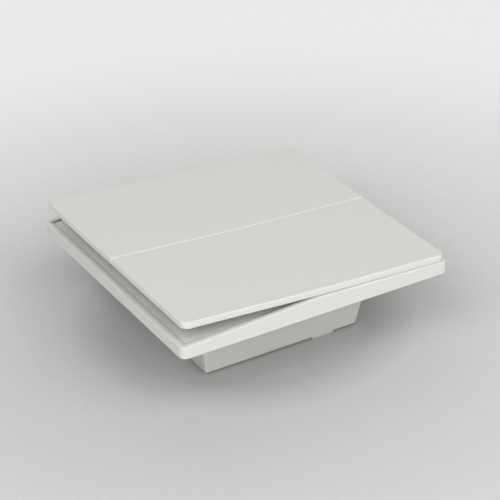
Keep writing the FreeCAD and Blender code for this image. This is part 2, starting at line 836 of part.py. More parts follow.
def circuit_board():
    """The board, notched round the box's corner posts."""
    half_x, half_y = board_half()
    board = block(-half_x, half_x, -half_y, half_y, board_bottom, board_top)
    post_x, post_y = floor_post()
    notch = post_radius + board_edge_gap
    cuts = []
    for side_x in (-1, 1):
        for side_y in (-1, 1):
            x0, x1 = sorted((side_x * (post_x - notch), side_x * box_length))
            y0, y1 = sorted((side_y * (post_y - notch), side_y * box_width))
            cuts.append(block(x0, x1, y0, y1, board_bottom - past, board_top + past))
    through = board_thickness + 2 * past
    root = board_bottom - past
    for y in (-gang_y, gang_y):
        for x in (-generator_screw_x, generator_screw_x):
            cuts.append(rod(x, y, root, (0, 0, 1), screw_radius + screw_pass_gap, through))
        for step in (-terminal_pitch / 2, terminal_pitch / 2):
            cuts.append(rod(terminal_x(), y + step, root, (0, 0, 1), terminal_radius + board_hole_gap,
                            through))
    antenna_x, antenna_y = antenna_foot()
    cuts.append(rod(antenna_x, antenna_y, root, (0, 0, 1), antenna_radius + wrap_gap, through))
    return board.cut(cuts)


def mounted(x, y, size, corner):
    """A small component that stands on the board."""
    length, width, height = size
    return rounded_block(x - length / 2, x + length / 2, y - width / 2, y + width / 2,
                         board_top, board_top + height, corner)


def radio_shield():
    """The folded metal can over the radio, open at the board."""
    shield_x = row_places()[0]
    can = mounted(shield_x, 0, (shield_length, shield_width, shield_height), shield_corner)
    inside = mounted(shield_x, 0, (shield_length - 2 * shield_wall, shield_width - 2 * shield_wall,
                                   shield_height - shield_wall), shield_corner - shield_wall)
    return can.cut(inside)


def rectifier():
    """The rectifier's body with two gull-wing legs on each side."""
    length, width, height = rectifier_size
    leg_width, leg_reach, leg_thickness = rectifier_leg
    middle = row_places()[4]
    body = block(middle - length / 2, middle + length / 2, -width / 2, width / 2,
                 board_top + rectifier_standoff, board_top + height)
    pieces = [body]
    for x in (middle - length / 4, middle + length / 4):
        pieces.append(block(x - leg_width / 2, x + leg_width / 2, -width / 2 - leg_reach,
                            width / 2 + leg_reach, board_top, board_top + leg_thickness))
    return joined(pieces)


def storage_capacitors():
    """The two upright capacitors that hold one press's energy."""
    cans = []
    top = board_top + capacitor_height
    x = row_places()[3]
    for y in (-capacitor_radius - capacitor_gap / 2, capacitor_radius + capacitor_gap / 2):
        can = rod(x, y, board_top, (0, 0, 1), capacitor_radius, capacitor_height)
        can = can.makeFillet(capacitor_round, flat_edges(can, top))
        vent = []
        for half_x, half_y in ((capacitor_radius, vent_width / 2), (vent_width / 2, capacitor_radius)):
            vent.append(block(x - half_x, x + half_x, y - half_y, y + half_y, top - vent_depth, top + past))
        cans.append(can.cut(vent))
    return Part.makeCompound(cans)


def bent_path(points, radius):
    """Straight runs through the points, joined by arcs of one radius."""
    corners = [Vector(*point) for point in points]
    edges = []
    start = corners[0]
    for before, corner, after in zip(corners, corners[1:], corners[2:]):
        into = (corner - before).normalize()
        out = (after - corner).normalize()
        entry = corner - into * radius
        leave = corner + out * radius
        centre = entry + out * radius
        middle = centre + (corner - centre).normalize() * radius
        edges.append(Part.makeLine(start, entry))
        edges.append(Part.Arc(entry, middle, leave).toShape())
        start = leave
    edges.append(Part.makeLine(start, corners[-1]))
    return Part.Wire(edges)


def antenna_wire():
    """The quarter-wave antenna: a bent wire that stands in the board."""
    x, y = antenna_foot()
    root = board_bottom - terminal_tail / 2
    low = antenna_top - antenna_return
    far = floor_post()[1] - post_radius - antenna_post_gap
    near = y + antenna_bend
    path = bent_path([(x, y, root), (x, y, antenna_top), (x, far, antenna_top), (x, far, low),
                      (x, near, low)], antenna_bend)
    circle = Part.makeCircle(antenna_radius, Vector(x, y, root), Vector(0, 0, 1))
    return path.makePipeShell([Part.Wire([circle])], True, False)


def screw(x, y, seat, length):
    """A pan-head screw whose head rests on a seat, pointing down."""
    shank = rod(x, y, seat - length, (0, 0, 1), screw_radius, length + screw_head_height / 2)
    head = rod(x, y, seat, (0, 0, 1), screw_head_radius, screw_head_height)
    head = head.makeFillet(screw_head_height / 2, flat_edges(head, seat + screw_head_height))
    body = shank.fuse(head)
    top = seat + screw_head_height
    recess = []
    for half_x, half_y in ((recess_length / 2, recess_width / 2), (recess_width / 2, recess_length / 2)):
        recess.append(block(x - half_x, x + half_x, y - half_y, y + half_y, top - recess_depth, top + past))
    return body.cut(recess)


def box_screws():
    """The four screws through the carrier's shelf into the box's posts."""
    return Part.makeCompound([screw(x, y, shelf_top, box_screw_length) for x, y in post_places()])


def generator_screws():
    """The four screws through the generators' feet and the board into the box's floor."""
    return Part.makeCompound([screw(x, y, base_top, generator_screw_length)
                              for x, y in generator_screw_places()])


def moved(shape, y):
    """A copy of a shape, moved along the pivot line."""
    copy = shape.copy()
    copy.translate(Vector(0, y, 0))
    return copy


def housing_nodes():
    """The pieces that stay still and are there once."""
    chip_x, small_part_x = row_places()[1:3]
    return {
        "surface_frame": surface_frame(),
        "carrier_plate": carrier_plate(),
        "rear_box": rear_box(),
        "box_screws": box_screws(),
        "generator_screws": generator_screws(),
        "coil_terminals": coil_terminals(),
        "circuit_board": circuit_board(),
        "radio_shield": radio_shield(),
        "controller_chip": mounted(chip_x, 0, (chip_side, chip_side, chip_height), component_corner),
        "crystal": mounted(small_part_x, small_part_y, crystal_size, component_corner),
        "regulator": mounted(small_part_x, -small_part_y, regulator_size, component_corner),
        "rectifier": rectifier(),
        "storage_capacitors": storage_capacitors(),
        "antenna_wire": antenna_wire(),
    }


def gang_nodes():
    """The pieces that each of the two gangs has."""
    nodes = {}
    still = {"generator_frame": generator_frame(), "core": core(), "bobbin": bobbin(),
             "winding": winding()}
    swinging = {"armature_holder": armature_holder(), "magnet": magnet(),
                "upper_pole": pole_plate(1), "lower_pole": pole_plate(-1)}
    for name, shape in swinging.items():
        still[name] = turned_armature(shape)
    for gang, y in (("front", -gang_y), ("back", gang_y)):
        for name, shape in still.items():
            nodes[gang + "_" + name] = moved(shape, y)
    for name, shape in (("key_cover", key_cover()), ("key_lever", key_lever())):
        back, front = both_sides(shape)
        nodes["back_" + name] = turned_key(back)
        nodes["front_" + name] = turned_key(front)
    return nodes


def write_parts():
    """One STEP file for each node."""
    os.makedirs("parts", exist_ok=True)
    nodes = {**housing_nodes(), **gang_nodes()}
    for name, shape in nodes.items():
        valid = shape.isValid() and len(shape.Solids) > 0
        print(f"{name}: {len(shape.Solids)} solid(s), {shape.Volume:.1f} mm3, valid {valid}")
        shape.exportStep(f"parts/{name}.step")
    print(len(nodes), "nodes")


write_parts()
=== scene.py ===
# %% [markdown]
# # A two-gang wall switch, photographed on a pale table
# The switch is two wide see-saw keys over a square frame, with a tapered box behind. It arrives here
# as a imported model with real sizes, and this lesson gives it its surfaces, its light and its camera.
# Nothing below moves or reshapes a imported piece: each keeps its solid and gets a finish, and what is
# too fine for a solid, such as grain, turns of wire or board tracks, is part of that finish.

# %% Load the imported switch
import json
import math

import bpy
from mathutils import Matrix, Vector


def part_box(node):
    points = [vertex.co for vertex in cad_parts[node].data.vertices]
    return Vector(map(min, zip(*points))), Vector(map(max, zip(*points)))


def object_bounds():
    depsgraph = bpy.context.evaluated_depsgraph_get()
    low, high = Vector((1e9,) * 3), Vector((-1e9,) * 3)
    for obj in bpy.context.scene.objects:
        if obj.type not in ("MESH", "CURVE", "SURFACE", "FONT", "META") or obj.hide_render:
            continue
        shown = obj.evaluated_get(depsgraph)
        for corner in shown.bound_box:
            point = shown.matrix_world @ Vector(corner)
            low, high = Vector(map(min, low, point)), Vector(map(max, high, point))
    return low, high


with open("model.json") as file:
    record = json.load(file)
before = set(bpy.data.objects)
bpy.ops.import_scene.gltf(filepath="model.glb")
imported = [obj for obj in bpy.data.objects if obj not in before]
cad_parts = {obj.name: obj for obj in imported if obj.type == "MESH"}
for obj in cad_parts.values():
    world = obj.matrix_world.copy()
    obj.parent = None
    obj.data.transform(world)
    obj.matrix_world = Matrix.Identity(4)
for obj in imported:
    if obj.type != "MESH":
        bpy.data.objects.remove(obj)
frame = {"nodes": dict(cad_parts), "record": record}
packed_low, packed_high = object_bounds()
nodes = frame["nodes"]
MM = 0.001
print("pieces:", len(nodes), "size in mm:", [round(s / MM, 1) for s in packed_high - packed_low])

# %% [markdown]
# ## The camera
# A product picture is taken from some way off with a long lens, so that the plate's sides hardly
# converge. The angles below were worked out from the plate's edges in the picture: the camera stands
# at the left front, 29 degrees up. `back` points from the switch to the camera, and the camera's own
# three axes make its rotation. A slight roll is part of the picture, so it is kept.

# %% Place the camera
camera_azimuth, camera_elevation, camera_roll = (math.radians(a) for a in (-29.394, 29.057, -2.036))
camera_distance = 553.576 * MM
camera_target = Vector((2.263, -1.173, 0.3)) * MM

back = Vector((math.sin(camera_azimuth) * math.cos(camera_elevation),
               -math.cos(camera_azimuth) * math.cos(camera_elevation),
               math.sin(camera_elevation)))
level_right = Vector((math.cos(camera_azimuth), math.sin(camera_azimuth), 0))
level_up = back.cross(level_right)
right = level_right * math.cos(camera_roll) + level_up * math.sin(camera_roll)
up = level_up * math.cos(camera_roll) - level_right * math.sin(camera_roll)

camera = bpy.data.objects.new("camera", bpy.data.cameras.new("camera"))
bpy.context.scene.collection.objects.link(camera)
camera.matrix_world = (Matrix.Translation(camera_target + back * camera_distance)
                       @ Matrix((right, up, back)).transposed().to_4x4())
camera.data.sensor_width = 36
camera.data.lens = 136.505
camera.data.clip_start = 0.01
bpy.context.scene.camera = camera
print("camera stands", round(camera_distance, 3), "m away, lens", camera.data.lens, "mm")

# %% [markdown]
# ## A short way to write materials
# A material is a graph of nodes. Dragging wires is slow to read later, so one small class stands for
# a socket: adding, multiplying and comparing sockets in plain Python makes the Math nodes. Each
# operator also has its reflected form, so that `1 - mask` works as well as `mask - 1`.

# %% Define sockets that do sums
class Signal:
    """One output socket, with Python's arithmetic for the ones that carry a number."""

    def __init__(self, graph, socket):
        self.graph = graph
        self.socket = socket

    def _math(self, operation, *inputs, clamp=False):
        return self.graph.node("ShaderNodeMath", {"operation": operation, "use_clamp": clamp},
                               dict(enumerate(inputs)))

    def __add__(self, other):
        return self._math("ADD", self, other)

    __radd__ = __add__

    def __sub__(self, other):
        return self._math("SUBTRACT", self, other)

    def __rsub__(self, other):
        return self._math("SUBTRACT", other, self)

    def __mul__(self, other):
        return self._math("MULTIPLY", self, other)

    __rmul__ = __mul__

    def __truediv__(self, other):
        return self._math("DIVIDE", self, other)

    def __gt__(self, other):
        return self._math("GREATER_THAN", self, other)

    def __lt__(self, other):
        return self._math("LESS_THAN", self, other)

    def clamped(self):
        return self._math("ADD", self, 0.0, clamp=True)

    def sine(self):
        return self._math("SINE", self)

    def magnitude(self):
        return self._math("ABSOLUTE", self)

    def fraction(self):
        return self._math("FRACT", self)

    def smaller_of(self, other):
        return self._math("MINIMUM", self, other)

    def larger_of(self, other):
        return self._math("MAXIMUM", self, other)


# %% [markdown]
# ## A graph of nodes
# The second class is a whole graph, and its method `node` makes any node from its type, its settings
# and its inputs. The other methods are the few nodes that most finishes share. Colours and vectors
# never go through Math nodes, which would turn them grey, so they have methods of their own.

# %% Define a graph of nodes
class Shading:
    """The nodes of a material, or of another kind of data block."""

    def __init__(self, name, kind=bpy.data.materials, output="ShaderNodeOutputMaterial"):
        self.block = kind.new(name)
        self.block.use_nodes = True
        self.tree = self.block.node_tree
        self.tree.nodes.clear()
        self.output = self.tree.nodes.new(output)

    def node(self, kind, settings, inputs, output=0):
        """Makes a node, sets its settings first, then its inputs, and returns one output."""
        made = self.tree.nodes.new(kind)
        for key, value in settings.items():
            setattr(made, key, value)
        for key, value in inputs.items():
            if isinstance(value, Signal):
                self.tree.links.new(value.socket, made.inputs[key])
            else:
                made.inputs[key].default_value = value
        return Signal(self, made.outputs[output])

    def mix(self, factor, first, second):
        """Blends two colours."""
        return self.node("ShaderNodeMix", {"data_type": "RGBA"}, {0: factor, 6: first, 7: second}, 2)

    def place(self):
        """Where a point is on its piece, in metres, which moves with the piece."""
        return self.node("ShaderNodeTexCoord", {}, {}, "Object")

    def along(self, vector, letter):
        """One of a vector's three numbers, in millimetres."""
        return self.node("ShaderNodeSeparateXYZ", {}, {0: vector}, letter) / MM

    def stretched(self, vector, factors):
        """A vector with each of its numbers multiplied, to pull a pattern out along one way."""
        return self.node("ShaderNodeVectorMath", {"operation": "MULTIPLY"}, {0: vector, 1: factors})

    def noise(self, where, scale, detail=2.0, roughness=0.5):
        """Soft cloudy noise from 0 to 1, its scale in waves per metre."""
        return self.node("ShaderNodeTexNoise", {}, {"Vector": where, "Scale": scale, "Detail": detail,
                                                    "Roughness": roughness})

    def distance_across(self, vector, x=0.0, y=0.0):
        """How far a point is, seen from above, from a place; all in millimetres."""
        return self.node("ShaderNodeVectorMath", {"operation": "DISTANCE"},
                         {0: self.stretched(vector, (1, 1, 0)), 1: (x * MM, y * MM, 0)}, "Value") / MM

    def bump(self, height, depth):
        """A surface normal tilted by a height that runs from 0 to 1 over a depth in millimetres."""
        return self.node("ShaderNodeBump", {}, {"Distance": depth * MM, "Height": height}, "Normal")

    def end(self, shader):
        """Gives the graph its last shader."""
        self.tree.links.new(shader.socket, self.output.inputs["Surface"])
        return self.block

    def surface(self, **inputs):
        """Ends a material with a Principled shader, whose inputs are written with _ for each space."""
        return self.end(self.node("ShaderNodeBsdfPrincipled", {},
                                  {key.replace("_", " "): value for key, value in inputs.items()}))


# %% [markdown]
# ## Colours as they look
# A shader wants the amount of light, but a colour is easier to choose as it looks on screen, from 0 to
# 255. The step from one to the other is the screen standard's own curve.

# %% Define colours
def tone(red, green, blue):
    """A colour given as it looks on screen, as the shader wants it."""
    return tuple(c / 12.92 if c <= 0.04045 else ((c + 0.055) / 1.055) ** 2.4
                 for c in (red / 255, green / 255, blue / 255)) + (1.0,)


def grey(level):
    """A neutral colour given as it looks on screen."""
    return tone(level, level, level)


def shaded(colour, share):
    """The same colour with a share of its light."""
    return tuple(c * share for c in colour[:3]) + (1.0,)


# %% [markdown]
# ## The moulded plastic
# Frame, keys, carrier and levers come from steel moulds. A mould's eroded surface leaves a very fine
# grain on the plastic, about a hundredth of a millimetre deep, and its polish varies slowly over the
# part, which shows as a soft change of gloss. Where the plastic flowed, its colour is a shade darker.
# One function makes all of these finishes, so that they differ only in tone, gloss and grain, and in
# the painted shade that frame and carrier get at their joint. A picture of a smooth white panel would
# do for one view, but noise in the piece's own space has no seams and moves with the key.

# %% Define the grain of moulded plastic
GRAIN_SCALE = 5200.0
RIPPLE_SCALE = 900.0
FLOW_SCALE = 38.0
POLISH_SCALE = 160.0


def plastic_grain(s, here):
    """The height of an eroded mould's grain: fine pits on a slower ripple."""
    return s.noise(here, GRAIN_SCALE, 2.0, 0.6) * 0.7 + s.noise(here, RIPPLE_SCALE, 1.0) * 0.3


# %% [markdown]
# ## The joint between frame and carrier
# The carrier fits inside the frame with a fine joint all round. Light hardly gets into it, so both
# mouldings are painted darker at the joint: a painted shade, deeper than the shade of the solids' own
# fine joint. It is darkest all along the back, which shows in the far left corner, and in front near
# the ridge, where the wedge under the keys closes. One function tells how near a point is to a square
# about the middle, and another is 1 where the painted shade is darkest. The distances are in millimetres.

# %% Define the shade at the joint
# The joint's painted shade: where it lies, and the share of the colour's light it leaves.
JOINT_FROM_MIDDLE = 41.1
JOINT_REACH = 0.9
JOINT_PAINTED_SHADE = 0.7
RIDGE_REACH = 14.0
RIDGE_FADE = 10.0
DEEP_FROM_MIDDLE = 40.0
DEEPEST_PAINTED_SHADE = 0.25


def painted_joint_shade(s, here):
    """How near a point is to the joint, where shade is painted: 1 in it, 0 nearly a millimetre away."""
    from_middle = s.along(here, "X").magnitude().larger_of(s.along(here, "Y").magnitude())
    return (1 - (from_middle - JOINT_FROM_MIDDLE).magnitude() / JOINT_REACH).clamped()


def deepest_painted_shade(s, here):
    """Where the painted shade is darkest: 1 all along the back, and in front only near the ridge."""
    from_ridge = s.along(here, "X").magnitude()
    near_ridge = (1 - (from_ridge - RIDGE_REACH) / RIDGE_FADE).clamped()
    across = s.along(here, "Y")
    return (near_ridge * (across < -DEEP_FROM_MIDDLE)).larger_of(across > DEEP_FROM_MIDDLE)


# %% [markdown]
# ## The white finishes
# Keys, frame, carrier and lever differ in tone, in gloss and in the depth of their grain, in
# millimetres, and frame and carrier also get painted shade at their joint. The keys are touched all
# day and are the smoothest. The carrier is a shade greyer.

# %% Make the white plastics
def moulded_plastic(name, colour, gloss, grain_depth, with_painted_shade=False):
    """Moulded plastic: slow changes of tone and gloss, an eroded grain in the normal, and painted shade at
    the joint.
    """
    s = Shading(name)
    here = s.place()
    body = s.mix(s.noise(here, FLOW_SCALE, 3.0), colour, shaded(colour, 0.985))
    # Frame and carrier get painted shade along their joint, darkest along the back and near the ridge.
    if with_painted_shade:
        painted_joint_colour = s.mix(deepest_painted_shade(s, here), shaded(colour, JOINT_PAINTED_SHADE), shaded(colour, DEEPEST_PAINTED_SHADE))
        body = s.mix(painted_joint_shade(s, here), body, painted_joint_colour)
    return s.surface(Base_Color=body, Roughness=gloss + (s.noise(here, POLISH_SCALE) - 0.5) * 0.06,
                     Normal=s.bump(plastic_grain(s, here), grain_depth))


finishes = {
    "key_plastic": moulded_plastic("key_plastic", tone(222, 223, 218), 0.56, 0.012),
    "frame_plastic": moulded_plastic("frame_plastic", tone(221, 222, 217), 0.56, 0.014, with_painted_shade=True),
    "carrier_plastic": moulded_plastic("carrier_plastic", tone(216, 217, 212), 0.58, 0.016, with_painted_shade=True),
    "lever_plastic": moulded_plastic("lever_plastic", tone(212, 213, 207), 0.55, 0.016),
}
print("white plastics:", ", ".join(finishes))

# %% [markdown]
# ## The box's plastic
# The rear box goes into the wall, so its mould is rougher, and the pins that push the moulding out
# leave their marks under its floor: shallow rings in two rows. They are a twentieth of a millimetre
# deep, too shallow to model, so they go into the normal. `distance_across` measures from each pin,
# and a ring is where that distance is near the pin's radius.

# %% Make the box's plastic
PIN_RADIUS = 2.0
PIN_EDGE = 0.22
PIN_PITCH = 17.0
PIN_ROW = 7.0
MARK_DEPTH = 0.05
UNDER_FLOOR = 1.2
pin_places = [(column * PIN_PITCH, side * PIN_ROW) for column in (-1, 0, 1) for side in (-1, 1)]
box_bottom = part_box("rear_box")[0].z / MM


def box_finish():
    """Rough white plastic with the rings of the mould's pins under the floor."""
    s = Shading("box_plastic")
    here = s.place()
    colour = tone(218, 219, 214)
    rings = 0.0
    for x, y in pin_places:
        from_edge = (s.distance_across(here, x, y) - PIN_RADIUS).magnitude()
        rings = (1 - from_edge / PIN_EDGE).clamped() + rings
    under_floor = s.along(here, "Z") < box_bottom + UNDER_FLOOR
    return s.surface(Base_Color=s.mix(s.noise(here, 30.0, 3.0), colour, shaded(colour, 0.97)),
                     Roughness=0.6 + (s.noise(here, 120.0) - 0.5) * 0.08,
                     Normal=s.bump(plastic_grain(s, here) * 0.35 - rings * under_floor, MARK_DEPTH))


finishes["box_plastic"] = box_finish()
print("pin marks:", len(pin_places), "under a floor at", round(box_bottom, 2), "mm")

# %% [markdown]
# ## Plastics inside
# The generators' frames are black nylon filled with short glass fibres, which float up as faint pale
# flecks along the flow. The bobbins are the same nylon without dye: the colour of candle wax, and a
# little glossier. Both are one idea, a body colour with a second tone that noise lets through, so one
# function makes them. Stretching the noise's space along X draws the flecks out into fibres.

# %% Make the inner plastics
FLECK_SCALE = 1400.0


def flecked_plastic(name, colour, fleck, share, pull, gloss, grain_depth):
    """Dyed or natural plastic with a second tone that shows in a share of it, as stretched flecks."""
    s = Shading(name)
    here = s.place()
    streak = s.noise(s.stretched(here, pull), FLECK_SCALE, 3.0, 0.65)
    shows = ((streak - (1 - share)) / 0.12).clamped()
    body = s.mix(s.noise(here, 90.0), colour, shaded(colour, 0.88))
    return s.surface(Base_Color=s.mix(shows, body, fleck), Roughness=gloss + (streak - 0.5) * 0.12,
                     Normal=s.bump(plastic_grain(s, here) + shows * 0.2, grain_depth))


finishes["generator_plastic"] = flecked_plastic("generator_plastic", tone(38, 39, 42), tone(74, 75, 78),
                                                0.42, (0.3, 1, 1), 0.52, 0.02)
finishes["bobbin_plastic"] = flecked_plastic("bobbin_plastic", tone(214, 205, 180), tone(226, 219, 198),
                                             0.5, (0.5, 1, 1), 0.36, 0.01)
print("inner plastics: generator_plastic, bobbin_plastic")

# %% [markdown]
# ## The copper winding
# The winding is hundreds of turns of enamelled wire, laid side by side along the bobbin. The solid
# is one smooth ring, so the turns are a sine wave along X, in the normal and in the colour: the
# crown of each wire has the bright copper tone, and the valley between two wires is painted a deep
# red-brown, a painted shade. A slow noise shifts the wave a little, because no winding is laid quite
# evenly.

# %% Make the winding's copper
WIRE_PITCH = 0.24
WIRE_CROWN = 0.06
winding_low, winding_high = (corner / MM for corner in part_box("front_winding"))


def winding_copper():
    """Enamelled copper wire wound side by side."""
    s = Shading("copper_wire")
    here = s.place()
    wander = (s.noise(here, 320.0) - 0.5) * 0.9
    crown = ((s.along(here, "X") / WIRE_PITCH + wander) * math.tau).sine() * 0.5 + 0.5
    warm = s.mix(s.noise(here, 700.0), tone(196, 112, 66), tone(178, 88, 50))
    # The valleys between the wires are painted dark: painted shade in the colour.
    return s.surface(Base_Color=s.mix(crown, tone(96, 42, 24), warm), Metallic=0.9,
                     Roughness=0.44 - crown * 0.16, Coat_Weight=0.5, Coat_Roughness=0.2,
                     Normal=s.bump(crown, WIRE_CROWN))


finishes["copper_wire"] = winding_copper()
print("turns along the bobbin:", round((winding_high.x - winding_low.x) / WIRE_PITCH))

# %% [markdown]
# ## The metals
# Cores and pole plates are pressed from soft iron sheet: grey, dull, with faint rolling lines. The
# magnets are nickel plated, and the radio's can, the pins and the antenna are tinned. Plating grows
# in patches, so each has cells of slightly different grey. Rolling lines are the same cells pulled
# out along X.

# %% Make the metals
def plated_metal(name, colour, gloss, patch_scale, patch_share, pull=(1, 1, 1)):
    """Metal whose plating or rolling shows as patches of slightly different grey."""
    s = Shading(name)
    here = s.stretched(s.place(), pull)
    patch = s.node("ShaderNodeTexVoronoi", {"feature": "SMOOTH_F1"},
                   {"Vector": here, "Scale": patch_scale, "Smoothness": 0.6}, "Distance")
    haze = s.noise(here, patch_scale * 3, 3.0, 0.6)
    body = s.mix((patch * patch_share + haze * 0.4).clamped(), colour, shaded(colour, 0.72))
    return s.surface(Base_Color=body, Metallic=1.0, Roughness=gloss + (haze - 0.5) * 0.2,
                     Normal=s.bump(haze, 0.008))


finishes["core_iron"] = plated_metal("core_iron", tone(142, 142, 143), 0.42, 500.0, 0.5, (0.12, 1.6, 1.6))
finishes["magnet_nickel"] = plated_metal("magnet_nickel", tone(196, 193, 186), 0.24, 260.0, 0.3)
finishes["shield_metal"] = plated_metal("shield_metal", tone(202, 203, 202), 0.30, 420.0, 0.6)
finishes["terminal_metal"] = plated_metal("terminal_metal", tone(208, 208, 206), 0.34, 900.0, 0.4)
print("metals: core_iron, magnet_nickel, shield_metal, terminal_metal")

# %% [markdown]
# ## The screws
# A screw's head is turned on a lathe before it is plated, so its crown has fine rings about its own
# axis. The four screws of a kind stand symmetrically, so the absolute values of x and y fold all
# four onto one, and a single distance serves them. The nearer of the two kinds of screw counts.

# %% Make the screws' zinc
TURNING_PITCH = 0.11
SCREW_HEAD_RADIUS = 1.7


def screw_axis(name):
    """Where the screws of one kind stand, folded onto one quarter, in millimetres."""
    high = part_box(name)[1] / MM
    return high.x - SCREW_HEAD_RADIUS, high.y - SCREW_HEAD_RADIUS


def screw_zinc():
    """Blue-white zinc with turning rings on the heads."""
    s = Shading("screw_steel")
    here = s.place()
    folded = s.node("ShaderNodeVectorMath", {"operation": "ABSOLUTE"}, {0: here})
    from_axis = s.distance_across(folded, *screw_axis("box_screws")).smaller_of(
        s.distance_across(folded, *screw_axis("generator_screws")))
    ring = (from_axis / TURNING_PITCH * math.tau).sine() * 0.5 + 0.5
    haze = s.noise(here, 800.0, 3.0, 0.6)
    return s.surface(Base_Color=s.mix(haze, tone(188, 192, 198), tone(160, 164, 172)), Metallic=1.0,
                     Roughness=0.3 + haze * 0.14, Normal=s.bump(ring * 0.6 + haze * 0.4, 0.012))


finishes["screw_steel"] = screw_zinc()
print("screws stand at", [[round(c, 2) for c in screw_axis(n)] for n in ("box_screws", "generator_screws")])

# %% [markdown]
# ## The circuit board
# A board is glass cloth in resin under green solder resist. The copper tracks lie under the resist
# and lift it by a few hundredths of a millimetre, so they show as lighter lines along x and y. A
# cell pattern decides in each square whether its tracks run along, across or not at all. Between the
# two faces the cut edge shows the straw colour of the resin, which is where z is inside the board.

# %% Make the board's finish
TRACK_PITCH = 1.1
TRACK_HALF_SHARE = 0.16
CELL_SCALE = 190.0
RESIST_SKIN = 0.04
board_low, board_high = (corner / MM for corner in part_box("circuit_board"))


def board_finish():
    """Green solder resist over copper tracks, with bare resin at the cut edges."""
    s = Shading("board_green")
    here = s.place()
    cell = s.node("ShaderNodeTexVoronoi", {"feature": "F1", "distance": "CHEBYCHEV"},
                  {"Vector": s.stretched(here, (1, 1, 0)), "Scale": CELL_SCALE, "Randomness": 0.7}, "Color")
    choice = s.node("ShaderNodeSeparateColor", {}, {0: cell}, 0)
    stripe_x, stripe_y = (((s.along(here, letter) / TRACK_PITCH).fraction() - 0.5).magnitude()
                          < TRACK_HALF_SHARE for letter in "XY")
    track = (stripe_x * (choice < 0.4)).larger_of(stripe_y * (choice > 0.6))
    inside = ((s.along(here, "Z") - (board_low.z + board_high.z) / 2).magnitude()
              < (board_high.z - board_low.z) / 2 - RESIST_SKIN)
    weave = s.noise(here, 2600.0, 1.0)
    resist = s.mix(track, s.mix(weave, tone(16, 84, 46), tone(20, 92, 52)), tone(46, 128, 74))
    resin = s.mix(weave, tone(176, 160, 104), tone(150, 134, 84))
    return s.surface(Base_Color=s.mix(inside, resist, resin),
                     Roughness=0.3 + inside * 0.4 + weave * 0.06,
                     Normal=s.bump(track * 0.8 + weave * 0.2, 0.03))


finishes["board_green"] = board_finish()
print("board:", [round(s, 2) for s in board_high - board_low], "mm")

# %% [markdown]
# ## Chips and capacitors
# A chip is black epoxy, moulded dull, and the rectifier's legs are tinned, so the finish turns to
# metal near the board outside the body. A capacitor is a drawn aluminium can: fine upright lines from
# drawing, and a dark rubber bung at its foot. Both read the height above the board.

# %% Make the components' finishes
rectifier_low, rectifier_high = (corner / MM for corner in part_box("rectifier"))
LEG_HEIGHT = 0.3
LEG_REACH = 0.9
LEG_FIT = 0.01
BESIDE_FIT = 0.1
BUNG_HEIGHT = 0.9


def component_finish():
    """Dull black epoxy, and tin on the legs."""
    s = Shading("component_black")
    here = s.place()
    low = s.along(here, "Z") < board_high.z + LEG_HEIGHT + LEG_FIT
    outside = s.along(here, "Y").magnitude() > rectifier_high.y - LEG_REACH + LEG_FIT
    beside = s.along(here, "X") > rectifier_low.x - BESIDE_FIT
    leg = low * outside * beside
    speckle = s.noise(here, 3600.0, 2.0, 0.7)
    epoxy = s.mix(speckle, tone(30, 30, 32), tone(52, 52, 54))
    return s.surface(Base_Color=s.mix(leg, epoxy, tone(204, 204, 202)), Metallic=leg,
                     Roughness=0.62 - leg * 0.3 + (speckle - 0.5) * 0.1, Normal=s.bump(speckle, 0.01))


def capacitor_finish():
    """A drawn aluminium can on a rubber bung."""
    s = Shading("capacitor_sleeve")
    here = s.place()
    bung = s.along(here, "Z") < board_high.z + BUNG_HEIGHT
    drawn = s.noise(s.stretched(here, (1, 1, 0.04)), 2400.0, 3.0, 0.6)
    can = s.mix(drawn, tone(206, 208, 212), tone(170, 172, 178))
    return s.surface(Base_Color=s.mix(bung, can, tone(34, 33, 33)), Metallic=1 - bung,
                     Roughness=0.26 + drawn * 0.14 + bung * 0.4,
                     Normal=s.bump(drawn * 0.3 - bung, 0.05))


finishes["component_black"] = component_finish()
finishes["capacitor_sleeve"] = capacitor_finish()
print("components stand on the board at", round(board_high.z, 2), "mm")

# %% [markdown]
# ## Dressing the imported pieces
# The record names a material slot for every piece, so dressing is a look-up: a piece whose slot had
# no finish would stop the lesson here.

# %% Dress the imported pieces
slot_of = {row["node"]: row["material_slot"] for row in frame["record"]["subparts"]}
for name, piece in nodes.items():
    piece.data.materials.clear()
    piece.data.materials.append(finishes[slot_of[name]])
print("dressed", len(nodes), "pieces in", len(set(slot_of.values())), "finishes")

# %% [markdown]
# ## What lights and what only shows
# More light would bleach a white switch on a white ground. A surface can look bright without lighting
# anything: its glow is switched on only for rays that show it to the camera, straight or mirrored.

# %% Define which rays show a thing
def seen(s):
    """1 for rays that show a thing to the camera, straight or by reflection; 0 for those that light."""
    return sum((s.node("ShaderNodeLightPath", {}, {}, "Is %s Ray" % kind)
                for kind in ("Camera", "Glossy", "Transmission")), 0.0).clamped()


# %% [markdown]
# ## The table's paper
# The switch lies on a sheet of pale paper that runs on far behind it. Its colour is painted a middle
# grey beside the switch and nearly white further out, a painted shadow in two rings by the distance
# from the switch, and it is painted lighter a little towards the back, a painted light. Further out it
# glows for the camera, from where the shadow ends. Seen from below the paper is clear, and under the
# box it lets the room's light up, so that the box's floor can be looked at too.

# %% Make the table's paper
floor_level = packed_low.z
PANE_INSET = 3.0
box_floor = [v.co / MM for v in nodes["rear_box"].data.vertices if v.co.z < floor_level + MM]
box_floor_half_x = max(c.x for c in box_floor)
box_floor_half_y = max(c.y for c in box_floor)
